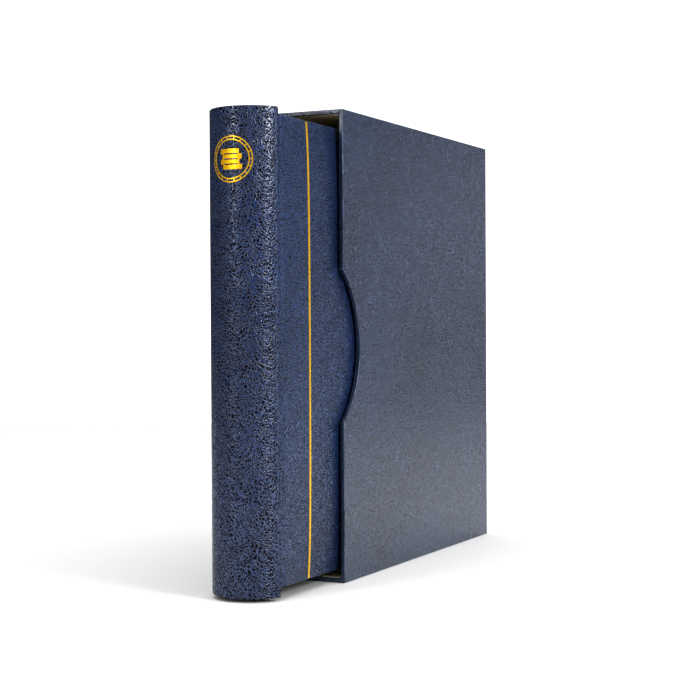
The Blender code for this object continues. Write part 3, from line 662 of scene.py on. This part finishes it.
def padded_cover(name, side):
    """A crowned pad of leatherette over foam, turned round the board on all four sides."""
    columns, rows = PAD.columns, PAD.rows
    verts = [(x, side * (COVER_OUT - PAD_RISE + PAD.lift[i, j]), z)
             for i, x in enumerate(PAD.xs) for j, z in enumerate(PAD.zs)]
    faces = lattice(columns + 1, rows + 1, closed=False)
    edge = [(i, 0) for i in range(columns)] + [(columns, j) for j in range(rows)]
    edge += [(i, rows) for i in range(columns, 0, -1)] + [(0, j) for j in range(rows, 0, -1)]
    ring = [i * (rows + 1) + j for i, j in edge]
    for inset, level in cover_rings():
        first = len(verts)
        x0, x1 = COVER_LOW.x + inset, COVER_HIGH.x - inset
        z0, z1 = COVER_LOW.z + inset, COVER_HIGH.z - inset
        verts += [(x0 + (x1 - x0) * i / columns, side * level, z0 + (z1 - z0) * j / rows) for i, j in edge]
        new = list(range(first, len(verts)))
        faces += zip(ring, ring[1:] + ring[:1], new[1:] + new[:1], new)
        ring = new
    faces.append(tuple(ring))
    pad = mesh_object(f"{name}_cover_pad", verts, faces)
    shade(pad, radians(50), weighted=False)
    dress(pad, "cover_leatherette", f"{name}_cover", [f"{name}_cover_leatherette", f"{name}_cover_padding"])


def gold_line(name, side):
    """Foil stamped along the padding, following its crown from edge to edge."""
    half = PAD.gold_width / 2 + 0.25 * MM
    across = [PAD.gold + half * t for t in (-1.0, -0.9, -0.4, 0.4, 0.9, 1.0)]
    lifts = [-0.02 * MM, FOIL_LIFT, 1.3 * FOIL_LIFT, 1.3 * FOIL_LIFT, FOIL_LIFT, -0.02 * MM]
    verts = [(x, side * (PAD.at(x, z) + lift), z) for z in PAD.zs for x, lift in zip(across, lifts)]
    count = len(across)
    faces = lattice(len(PAD.zs), count, closed=False)
    firsts = range(0, len(verts) - count, count)
    faces += [(first, first + count, first + 2 * count - 1, first + count - 1) for first in firsts]
    faces += [tuple(range(count)), tuple(range(len(verts) - count, len(verts)))]
    line = mesh_object(f"{name}_gold_line_foil", verts, faces)
    shade(line, radians(50), weighted=False)
    dress(line, "gold_foil", f"{name}_cover", [f"{name}_cover_gold_line"])


# ---------------------------------------------------------------- flexible joints of the covers
def smooth_path(knots, steps):
    """A Catmull-Rom curve through points in a plane."""
    points = []
    for i in range(len(knots) - 1):
        a, b, c, d = (Vector(knots[min(max(i + k, 0), len(knots) - 1)]) for k in (-1, 0, 1, 2))
        for k in range(steps):
            t = k / steps
            points.append(0.5 * (2 * b + (c - a) * t + (2 * a - 5 * b + 4 * c - d) * t * t
                                 + (3 * b - a - 3 * c + d) * t ** 3))
    return [tuple(p) for p in points] + [tuple(knots[-1])]


def bent_strip(name, section, thickness, z0, z1, slot, node):
    """A flexible strip between the spine and a cover: a section in (x, y) swept up from z0 to z1."""
    outer = [Vector(p) for p in section]
    normals = []
    for i in range(len(outer)):
        a, b = outer[max(i - 1, 0)], outer[min(i + 1, len(outer) - 1)]
        along = (b - a).normalized()
        normals.append(Vector((along.y, -along.x)))
    middle = sum((p.y for p in outer)) / len(outer)
    away = 1.0 if sum(n.y for n in normals) * middle > 0 else -1.0
    inner = [p - n * thickness * away for p, n in zip(outer, normals)]
    outline = [tuple(p) for p in outer] + [tuple(p) for p in reversed(inner)]
    levels = 24
    count = len(outline)
    verts = [(x, y, z0 + (z1 - z0) * k / levels) for k in range(levels + 1) for x, y in outline]
    faces = lattice(levels + 1, count, closed=True)
    for first in (0, levels * count):
        last = first + count - 1
        faces += [(first + i, first + i + 1, last - i - 1, last - i) for i in range(count // 2 - 1)]
    strip = mesh_object(name, verts, faces)
    shade(strip, radians(60), weighted=False)
    dress(strip, slot, None, [node])
    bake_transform(strip)


def cover_joint(name, side):
    """The leatherette groove outside and the lining strip inside, between the spine and the cover."""
    low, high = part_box(f"{name}_hinge_leatherette")
    spine_x, cover_x = low.x, high.x
    edge_y = COVER_OUT - PAD_RISE
    # laid over the spine's edge, sunk into a groove, and laid over the cover's edge
    knots = [(x, sqrt(SPINE_RADIUS ** 2 - (x - SPINE_CENTRE) ** 2) + 0.04 * MM)
             for x in (spine_x - 3.2 * MM, spine_x - 1.9 * MM)]
    knots += [(spine_x - 0.6 * MM, SPINE_HALF - 0.25 * MM), (spine_x + 0.8 * MM, SPINE_HALF - 0.15 * MM)]
    knots += [((spine_x + cover_x) / 2 + 0.3 * MM, edge_y - 0.55 * MM)]
    knots += [(cover_x + 0.8 * MM, edge_y + 0.05 * MM), (cover_x + 2.2 * MM, edge_y + 0.45 * MM)]
    points = [(x, side * y) for x, y in smooth_path(knots, 6)]
    bent_strip(f"{name}_joint_leatherette", points, 0.5 * MM, low.z, high.z,
               "cover_leatherette", f"{name}_hinge_leatherette")
    low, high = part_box(f"{name}_hinge_lining")
    inner_y = abs(high.y if side < 0 else low.y)
    outer_y = abs(low.y if side < 0 else high.y)
    points = [(low.x + (high.x - low.x) * i / 24, side * outer_y) for i in range(25)]
    bent_strip(f"{name}_joint_lining", points, outer_y - inner_y, low.z, high.z,
               "endpaper", f"{name}_hinge_lining")


# ---------------------------------------------------------------- ring mechanism
def half_rings():
    """Round polished wires: a straight foot in the blade, and a half circle with a narrowed tip."""
    for name, side in SIDES:
        for number in range(1, 5):
            low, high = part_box(f"{name}_half_ring_{number}")
            wire = (high.z - low.z) / 2
            height = (low.z + high.z) / 2
            radius = max(abs(low.y), abs(high.y)) - wire
            centre = high.x - wire - radius
            foot_angle = pi - asin(RING_FOOT / radius)
            path = [(low.x, RING_FOOT), (low.x + 1.2 * MM, RING_FOOT)]
            path += arc((centre, 0.0), radius, foot_angle, RING_GAP / radius, 44)
            places = [Vector((x, side * y, height)) for x, y in path]
            sizes = [1.0] * (len(path) - 1) + [0.72]
            wire_tube(f"{name}_ring_wire_{number}", places, wire, sizes, f"{name}_rings",
                      f"{name}_half_ring_{number}")


def wire_tube(name, path, radius, sizes, body, node):
    """A round wire in a level plane, with closed ends; sizes thicken or thin it at each place."""
    around = 16
    verts = []
    for i, point in enumerate(path):
        along = (path[min(i + 1, len(path) - 1)] - path[max(i - 1, 0)]).normalized()
        across = Vector((-along.y, along.x, 0.0))
        for k in range(around):
            turn = 2 * pi * k / around
            verts.append(point + (across * cos(turn) + Vector((0, 0, 1)) * sin(turn)) * radius * sizes[i])
    faces = lattice(len(path), around, closed=True)
    faces += [tuple(range(around)), tuple(range(len(verts) - around, len(verts)))]
    tube = mesh_object(name, verts, faces)
    shade(tube, radians(50), weighted=False)
    dress(tube, "plated_steel", body, [node])


# ---------------------------------------------------------------- leaves
def leaf_welds(number):
    """The frosted seams that weld a coin leaf's two films into pockets."""
    low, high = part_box(f"coin_leaf_{number}_front_film")
    half, chamfer = WELD_WIDTH / 2, 0.25 * MM
    y0, y1 = low.y - 0.08 * MM, low.y - 0.01 * MM
    left, bottom = low.x + LEAF_BINDING, low.z
    step_x, step_z = (high.x - left) / POCKET_COLUMNS, (high.z - bottom) / POCKET_ROWS
    bars = []
    for i in range(POCKET_COLUMNS + 1):
        x = min(left + i * step_x, high.x - 1.5 * MM)
        bars.append((x - half, bottom + 2 * MM, x + half, high.z - 2 * MM))
    for j in range(POCKET_ROWS + 1):
        z = min(max(bottom + j * step_z, bottom + 2.6 * MM), high.z - 2.6 * MM)
        bars.append((left - half, z - half, high.x - 0.9 * MM, z + half))
    verts, faces = [], []
    for x0, z0, x1, z1 in bars:
        base = len(verts)
        verts += [(x0, y1, z0), (x1, y1, z0), (x1, y1, z1), (x0, y1, z1)]
        verts += [(x0 + chamfer, y0, z0 + chamfer), (x1 - chamfer, y0, z0 + chamfer),
                  (x1 - chamfer, y0, z1 - chamfer), (x0 + chamfer, y0, z1 - chamfer)]
        faces += [(base, base + 3, base + 2, base + 1), (base + 4, base + 5, base + 6, base + 7)]
        faces += [(base + k, base + (k + 1) % 4, base + 4 + (k + 1) % 4, base + 4 + k) for k in range(4)]
    welds = mesh_object(f"coin_leaf_{number}_welds", verts, faces)
    dress(welds, "clear_film", "album", look=WELD)


def finish_cad_nodes():
    """Every CAD node that stays visible gets the procedural material of its record slot."""
    slots = {part["node"]: part["material_slot"] for part in frame["record"]["subparts"]}
    for name, obj in frame["nodes"].items():
        if obj.hide_render:
            continue
        for place in obj.material_slots:
            place.material = MATERIALS[slots[name]]


# ---------------------------------------------------------------- stage, light and camera
def stage():
    floor = bmesh.new()
    bmesh.ops.create_circle(floor, cap_ends=True, segments=96, radius=1.6)
    mesh = bpy.data.meshes.new("floor")
    floor.to_mesh(mesh)
    floor.free()
    ground = new_object("floor", mesh)
    ground.location.z = CASE_LOW.z - 0.1 * MM
    look = Look("floor", Roughness=0.9, Specular_IOR_Level=0.0)
    look.colour(look.ramp(look.noise(3.0, 2.0), [(0.3, (0.90, 0.895, 0.885)), (0.7, (0.915, 0.91, 0.90))]))
    mesh.materials.append(look.material)


def world():
    """White to the camera; a dim room with a bright ceiling for light and reflections."""
    shell = bpy.data.worlds.new("studio")
    bpy.context.scene.world = shell
    shell.use_nodes = True
    tree = shell.node_tree
    nodes, links = tree.nodes, tree.links
    back = nodes["Background"]
    back.inputs["Color"].default_value = (1.0, 1.0, 1.0, 1.0)
    back.inputs["Strength"].default_value = 1.08
    room = nodes.new("ShaderNodeBackground")
    coords = nodes.new("ShaderNodeTexCoord")
    split = nodes.new("ShaderNodeSeparateXYZ")
    ramp = nodes.new("ShaderNodeValToRGB")
    ramp.color_ramp.elements[0].position = 0.0
    ramp.color_ramp.elements[0].color = (0.05, 0.052, 0.056, 1.0)
    ramp.color_ramp.elements[1].position = 0.75
    ramp.color_ramp.elements[1].color = (0.60, 0.60, 0.60, 1.0)
    path = nodes.new("ShaderNodeLightPath")
    mix = nodes.new("ShaderNodeMixShader")
    links.new(coords.outputs["Generated"], split.inputs[0])
    links.new(split.outputs["Z"], ramp.inputs["Fac"])
    links.new(ramp.outputs["Color"], room.inputs["Color"])
    links.new(path.outputs["Is Camera Ray"], mix.inputs[0])
    links.new(room.outputs[0], mix.inputs[1])
    links.new(back.outputs[0], mix.inputs[2])
    links.new(mix.outputs[0], nodes["World Output"].inputs["Surface"])


def softbox(name, place, target, size, power):
    data = bpy.data.lights.new(name, "AREA")
    data.shape = "RECTANGLE"
    data.size, data.size_y = size
    data.energy = power
    lamp = new_object(name, data)
    lamp.location = place
    lamp.rotation_euler = (Vector(target) - Vector(place)).to_track_quat("-Z", "Y").to_euler()


def lights():
    """A wide ceiling, a sheen along the slipcase's side from behind, and a highlight down each side of
    the spine."""
    spine = (-0.2, 0.0, 0.25)
    softbox("ceiling", (0.3, -0.1, 2.4), target=(0.0, 0.0, 0.0), size=(3.4, 3.4), power=28.0)
    softbox("back_softbox", (3.30, -1.30, 0.36), target=(0.0, -0.03, 0.16), size=(1.4, 0.9), power=2.2)
    softbox("right_softbox", (-0.55, -1.60, 0.80), target=spine, size=(0.50, 0.60), power=13.5)
    softbox("left_softbox", (-1.85, 0.62, 0.80), target=spine, size=(0.42, 0.75), power=6.5)


def camera():
    """The photograph's viewpoint: to the right of the spine's front, about level with the album's middle."""
    place = Vector((-1.0832, -0.4944, 0.17735))
    yaw, pitch, roll = radians(25.78), radians(0.94), radians(-0.29)
    forward = Vector((cos(yaw) * cos(pitch), sin(yaw) * cos(pitch), -sin(pitch)))
    right = Vector((sin(yaw), -cos(yaw), 0.0))
    up = right.cross(forward)
    tilted_right = cos(roll) * right + sin(roll) * up
    tilted_up = -sin(roll) * right + cos(roll) * up
    data = bpy.data.cameras.new("camera")
    data.sensor_width = 36.0
    data.lens = 79.08
    cam = new_object("camera", data)
    turn = Matrix((tilted_right, tilted_up, -forward)).transposed().to_4x4()
    cam.matrix_world = Matrix.Translation(place) @ turn
    bpy.context.scene.camera = cam


# ---------------------------------------------------------------- the whole scene
camera()
stage()
world()
lights()
slipcase_wrap()
spine_wrap()
spine_emblem()
for side_name, side_sign in SIDES:
    padded_cover(side_name, side_sign)
    gold_line(side_name, side_sign)
    cover_joint(side_name, side_sign)
half_rings()
for leaf in (1, 2, 3):
    leaf_welds(leaf)
finish_cad_nodes()
bpy.context.scene.view_settings.view_transform = "Standard"
bpy.context.scene.view_settings.look = "High Contrast"
bpy.context.scene.cycles.use_denoising = True
